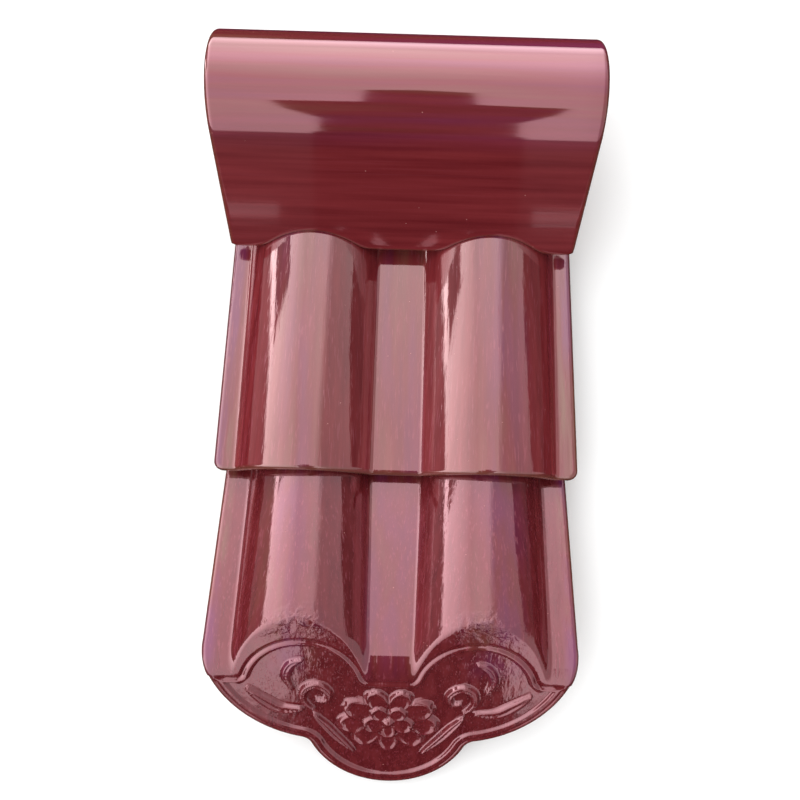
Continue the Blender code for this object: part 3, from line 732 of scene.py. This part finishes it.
def scallop(x, side, raised):
    """Distance up a skirt from the edge level to the lower edge, for places along the ridge tile."""
    slope, _, _ = ridge_skirt()
    rise = np.zeros_like(x)
    for _ in range(SCALLOP_PASSES):
        y = side * (RIDGE_SPREAD / 2 - rise * math.cos(slope))
        barrel = field_height(x, RIDGE_SETBACK + RIDGE_SPREAD / 2 - y) + RESTING_GAP
        edge = (barrel + RIDGE_EDGE_LEVEL + np.hypot(barrel - RIDGE_EDGE_LEVEL, SCALLOP_BLEND)) / 2
        rise = (edge - RIDGE_EDGE_LEVEL) / math.sin(slope)
    return rise + raised


def make_ridge_tile(material):
    """Ridge tile: rows up the front skirt, over the crown and down the back skirt."""
    inset = EDGE_ROUNDING
    slope, centre, skirt = ridge_skirt()
    x = np.linspace(-1.0, 1.0, COLUMNS) * (RIDGE_LENGTH / 2 - inset)
    front, back = scallop(x, -1.0, inset), scallop(x, 1.0, inset)
    rows = []
    for share in np.linspace(0.0, 1.0, FRONT_SKIRT_ROWS):
        up = blend(front, skirt, share)
        rows.append((-RIDGE_SPREAD / 2 + up * math.cos(slope), up * math.sin(slope)))
    for angle in np.linspace(-slope, slope, CROWN_ROWS)[1:-1]:
        rows.append((np.full_like(x, CROWN_RADIUS * math.sin(angle)),
                     np.full_like(x, centre + CROWN_RADIUS * math.cos(angle))))
    for share in np.linspace(1.0, 0.0, BACK_SKIRT_ROWS):
        up = blend(back, skirt, share)
        rows.append((RIDGE_SPREAD / 2 - up * math.cos(slope), up * math.sin(slope)))
    places = np.array([np.stack((x, y, z), -1) for y, z in rows[::-1]])
    mesh = clay_slab("ridge_tile_slab", places)
    add_piece("ridge_tile_glazed", laid(mesh, RIDGE_LAY), material, "ridge_tile")


# Glaze

def colour_ramp(tree, source, stops):
    """A colour that changes along a source, from stops of place and colour."""
    node = tree.nodes.new("ShaderNodeValToRGB")
    tree.links.new(source, node.inputs[0])
    while len(node.color_ramp.elements) < len(stops):
        node.color_ramp.elements.new(0.5)
    for element, (where, colour) in zip(node.color_ramp.elements, stops):
        element.position = where
        element.color = (*colour, 1.0)
    return node.outputs[0]


def scaled(values, share):
    return tuple(value * share for value in values)


def sheen_on_flats(x, y, z):
    """Share of painted sheen tint on the flat flanges and pan of a tile, and a little of its crests."""
    off = size_of(x)
    flange = held((off - SHEEN_FLANGE[0]) / SHEEN_FLANGE[1]) * SHEEN_FLANGE[2]
    pan = held((SHEEN_PAN[0] - off) / SHEEN_PAN[1]) * SHEEN_PAN[2]
    crest = held(1.0 - size_of(off - SHEEN_CREST[0]) / SHEEN_CREST[1]) * SHEEN_CREST[2]
    return (flange + pan + crest) * held((y - SHEEN_END[0]) / SHEEN_END[1])


def sheen_on_crown(x, y, z):
    """Share of painted sheen tint on the crown of the ridge tile."""
    return held((z - SHEEN_CROWN[0]) / SHEEN_CROWN[1]) * SHEEN_CROWN[2]


def lustre_glaze(name, streaks, lustre, depth, sheen_places, ripple):
    """Wine-red glaze with a metallic lustre, streaked one way, brown where thin, and bare clay beneath.

    The depth deepens its red. Where its painted sheen falls, a share from 0 to 1, it turns mauve and
    grey-green as the lustre's highlights look.
    The ripple is how strongly the glaze runs in relief.
    """
    material = bpy.data.materials.new(name)
    material.use_nodes = True
    tree = material.node_tree
    shader = tree.nodes["Principled BSDF"]
    place = tree.nodes.new("ShaderNodeTexCoord").outputs["Object"]

    def noise(stretch, detail=STREAK_DETAIL):
        mapping = tree.nodes.new("ShaderNodeMapping")
        mapping.inputs["Scale"].default_value = stretch
        tree.links.new(place, mapping.inputs["Vector"])
        node = tree.nodes.new("ShaderNodeTexNoise")
        node.inputs["Scale"].default_value = 1.0
        node.inputs["Detail"].default_value = detail
        tree.links.new(mapping.outputs[0], node.inputs["Vector"])
        return node.outputs["Fac"]

    def mixed(share, first, second):
        node = tree.nodes.new("ShaderNodeMix")
        node.data_type = "RGBA"
        tree.links.new(share, node.inputs["Factor"])
        for entry, value in ((node.inputs["A"], first), (node.inputs["B"], second)):
            if isinstance(value, tuple):
                entry.default_value = (*value, 1.0)
            else:
                tree.links.new(value, entry)
        return node.outputs["Result"]

    def attribute(title):
        node = tree.nodes.new("ShaderNodeAttribute")
        node.attribute_name = title
        return node.outputs["Fac"]

    red = colour_ramp(tree, noise(streaks), [(where, scaled(colour, depth)) for where, colour in REDS])
    # Painted sheen: the highlights' mauve and grey-green, mixed into the base colour on the flats and crown
    sheen_colour = colour_ramp(tree, noise(scaled(streaks, BROAD_SHARE)), SHEEN_TINTS)
    parts = tree.nodes.new("ShaderNodeSeparateXYZ")
    tree.links.new(place, parts.inputs[0])
    share = held(sheen_places(*(Figure(tree, socket) for socket in parts.outputs)))
    body = mixed(share.socket, red, sheen_colour)

    lengthwise, crosswise = RUN_FINENESS
    fine = tuple(s * (crosswise if s == max(streaks) else lengthwise) for s in streaks)
    run_shades = list(zip(RUN_STARTS, ((0.0,) * 3, (RUN_SHARE * ripple,) * 3)))
    runs = colour_ramp(tree, noise(fine, RUN_DETAIL), run_shades)
    body = mixed(runs, body, RUN_COLOUR)
    # Pinholes: a small dip in the glaze, each painted pale as a glint of light
    cells = tree.nodes.new("ShaderNodeTexVoronoi")
    cells.inputs["Scale"].default_value = SPECK_FINENESS
    tree.links.new(place, cells.inputs["Vector"])
    speck = below(Figure(tree, cells.outputs["Distance"]), SPECK_SIZE)
    body = mixed(speck.socket, body, PINHOLE_GLINT_COLOUR)
    folds = held((Figure(tree, noise((FOLD_FINENESS,) * 3, FOLD_DETAIL)) - FOLD_RANGE[0]) / FOLD_RANGE[1])
    crinkle = Figure(tree, attribute("crinkle")) * folds
    body = mixed((crinkle * FOLD_SHARE).socket, body, FOLD_COLOUR)
    edged = mixed(attribute("thin_glaze"), body, EDGE_COLOUR)
    colour = mixed(attribute("bare_clay"), edged, CLAY_COLOUR)
    tree.links.new(colour, shader.inputs["Base Color"])

    rough = Figure(tree, noise(scaled(streaks, ROUGHNESS_FINENESS))) * ROUGHNESS_CHANGE + SMOOTHEST
    rough = rough + Figure(tree, attribute("bare_clay")) * CLAY_ROUGHNESS
    tree.links.new(rough.socket, shader.inputs["Roughness"])
    shader.inputs["IOR"].default_value = LUSTRE_INDEX
    shader.inputs["Specular Tint"].default_value = (*lustre, 1.0)
    height = Figure(tree, noise(scaled(streaks, RIPPLE_SHARE))) + Figure(tree, runs) * RUN_HEIGHT
    height = height * ripple + crinkle * FOLD_HEIGHT - speck * SPECK_DEPTH
    bump = tree.nodes.new("ShaderNodeBump")
    bump.inputs["Distance"].default_value = RELIEF_DEPTH
    bump.inputs["Strength"].default_value = RELIEF_STRENGTH
    tree.links.new(height.socket, bump.inputs["Height"])
    tree.links.new(bump.outputs[0], shader.inputs["Normal"])
    return material


# Stage

def make_camera():
    """Camera above the run, looking down and a little up the slope."""
    cos, sin = math.cos(CAMERA_TILT), math.sin(CAMERA_TILT)
    across, up = np.array([1.0, 0.0, 0.0]), np.array([0.0, cos, sin])
    turn_cos, turn_sin = math.cos(CAMERA_ROLL), math.sin(CAMERA_ROLL)
    matrix = np.eye(4)
    matrix[:3, 0] = turn_cos * across + turn_sin * up
    matrix[:3, 1] = -turn_sin * across + turn_cos * up
    matrix[:3, 2] = (0.0, -sin, cos)
    matrix[:3, 3] = CAMERA_PLACE
    camera = bpy.data.objects.new("camera", bpy.data.cameras.new("camera"))
    camera.matrix_world = Matrix(matrix.tolist())
    camera.data.lens = CAMERA_LENS
    camera.data.shift_y = CAMERA_SHIFT_UP
    bpy.context.scene.collection.objects.link(camera)
    bpy.context.scene.camera = camera


def make_floor():
    """Plain pale floor, which the glaze doesn't mirror."""
    mesh = bpy.data.meshes.new("floor")
    turns = ((-1, -1), (1, -1), (1, 1), (-1, 1))
    mesh.from_pydata([(FLOOR_REACH * x, FLOOR_REACH * y, 0.0) for x, y in turns], [], [(0, 1, 2, 3)])
    floor = bpy.data.objects.new("floor", mesh)
    material = bpy.data.materials.new("floor")
    material.use_nodes = True
    shader = material.node_tree.nodes["Principled BSDF"]
    shader.inputs["Base Color"].default_value = FLOOR_COLOUR
    shader.inputs["Roughness"].default_value = FLOOR_ROUGHNESS
    shader.inputs["Specular IOR Level"].default_value = 0.0
    mesh.materials.append(material)
    bpy.context.scene.collection.objects.link(floor)
    floor.visible_glossy = False


def level_along(tree, source, stops):
    """A level that changes along a source, from stops of place and level."""
    shades = [(where, (level / BRIGHTEST,) * 3) for where, level in stops]
    return Figure(tree, colour_ramp(tree, source.socket, shades)) * BRIGHTEST


def make_light():
    """Soft studio light all round: brighter on the left, dimmer on the right, with a person in front."""
    world = bpy.data.worlds.new("studio")
    world.use_nodes = True
    bpy.context.scene.world = world
    tree = world.node_tree
    way = tree.nodes.new("ShaderNodeTexCoord").outputs["Generated"]
    parts = tree.nodes.new("ShaderNodeSeparateXYZ")
    tree.links.new(way, parts.inputs[0])
    x, y, z = (Figure(tree, socket) for socket in parts.outputs)
    # How far a direction leans to the front, from 0 overhead to 1 at the horizon
    lean = y.made("ARCTAN2", 0.0 - y, z) / (math.pi / 2)
    across = level_along(tree, x * 0.5 + 0.5, LIGHT_ACROSS)
    forward = level_along(tree, lean * 0.5 + 0.5, LIGHT_FORWARD)
    person = below(size_of(x - PERSON_OFFSET), level_along(tree, lean, PERSON_WIDTHS))
    corner = 1.0 - below(x - lean * CORNER_SLANT, CORNER_START)
    shelf = below(lean, SHELF_START) * below(size_of(x - SHELF_PLACE), SHELF_HALF_WIDTH)
    beside_person = 1.0 - below(size_of(x), STRIP_GAP)
    strip = below(size_of(lean - STRIP_PLACE), STRIP_HALF_WIDTH) * beside_person * STRIP_LEVEL
    darkened = (1.0 - person * PERSON_DARKNESS) * (1.0 - held(shelf + corner) * SHELF_DARKNESS)
    total = (across * darkened * forward + strip) * (1.0 - below(z, 0.0))
    # Plain pale surroundings behind the tiles; the bright and dark sides show only in the glaze
    seen = Figure(tree, tree.nodes.new("ShaderNodeLightPath").outputs["Is Camera Ray"])
    total = total * (1.0 - seen) + seen
    background = tree.nodes["Background"]
    tree.links.new(total.socket, background.inputs["Strength"])
    background.inputs["Color"].default_value = (1.0, 1.0, 1.0, 1.0)


make_camera()
make_floor()
make_light()
bpy.context.scene.view_settings.view_transform = "Standard"

make_eave_tile(lustre_glaze(
    "eave_lustre", LENGTHWISE, lustre=(1.0, 0.60, 0.66), depth=0.82, sheen_places=sheen_on_flats, ripple=0.8))
make_field_tile(lustre_glaze(
    "field_lustre", LENGTHWISE, lustre=(1.0, 0.69, 0.70), depth=1.1, sheen_places=sheen_on_flats, ripple=0.8))
make_ridge_tile(lustre_glaze(
    "ridge_lustre", CROSSWISE, lustre=(1.0, 0.59, 0.65), depth=1.2, sheen_places=sheen_on_crown, ripple=0.12))
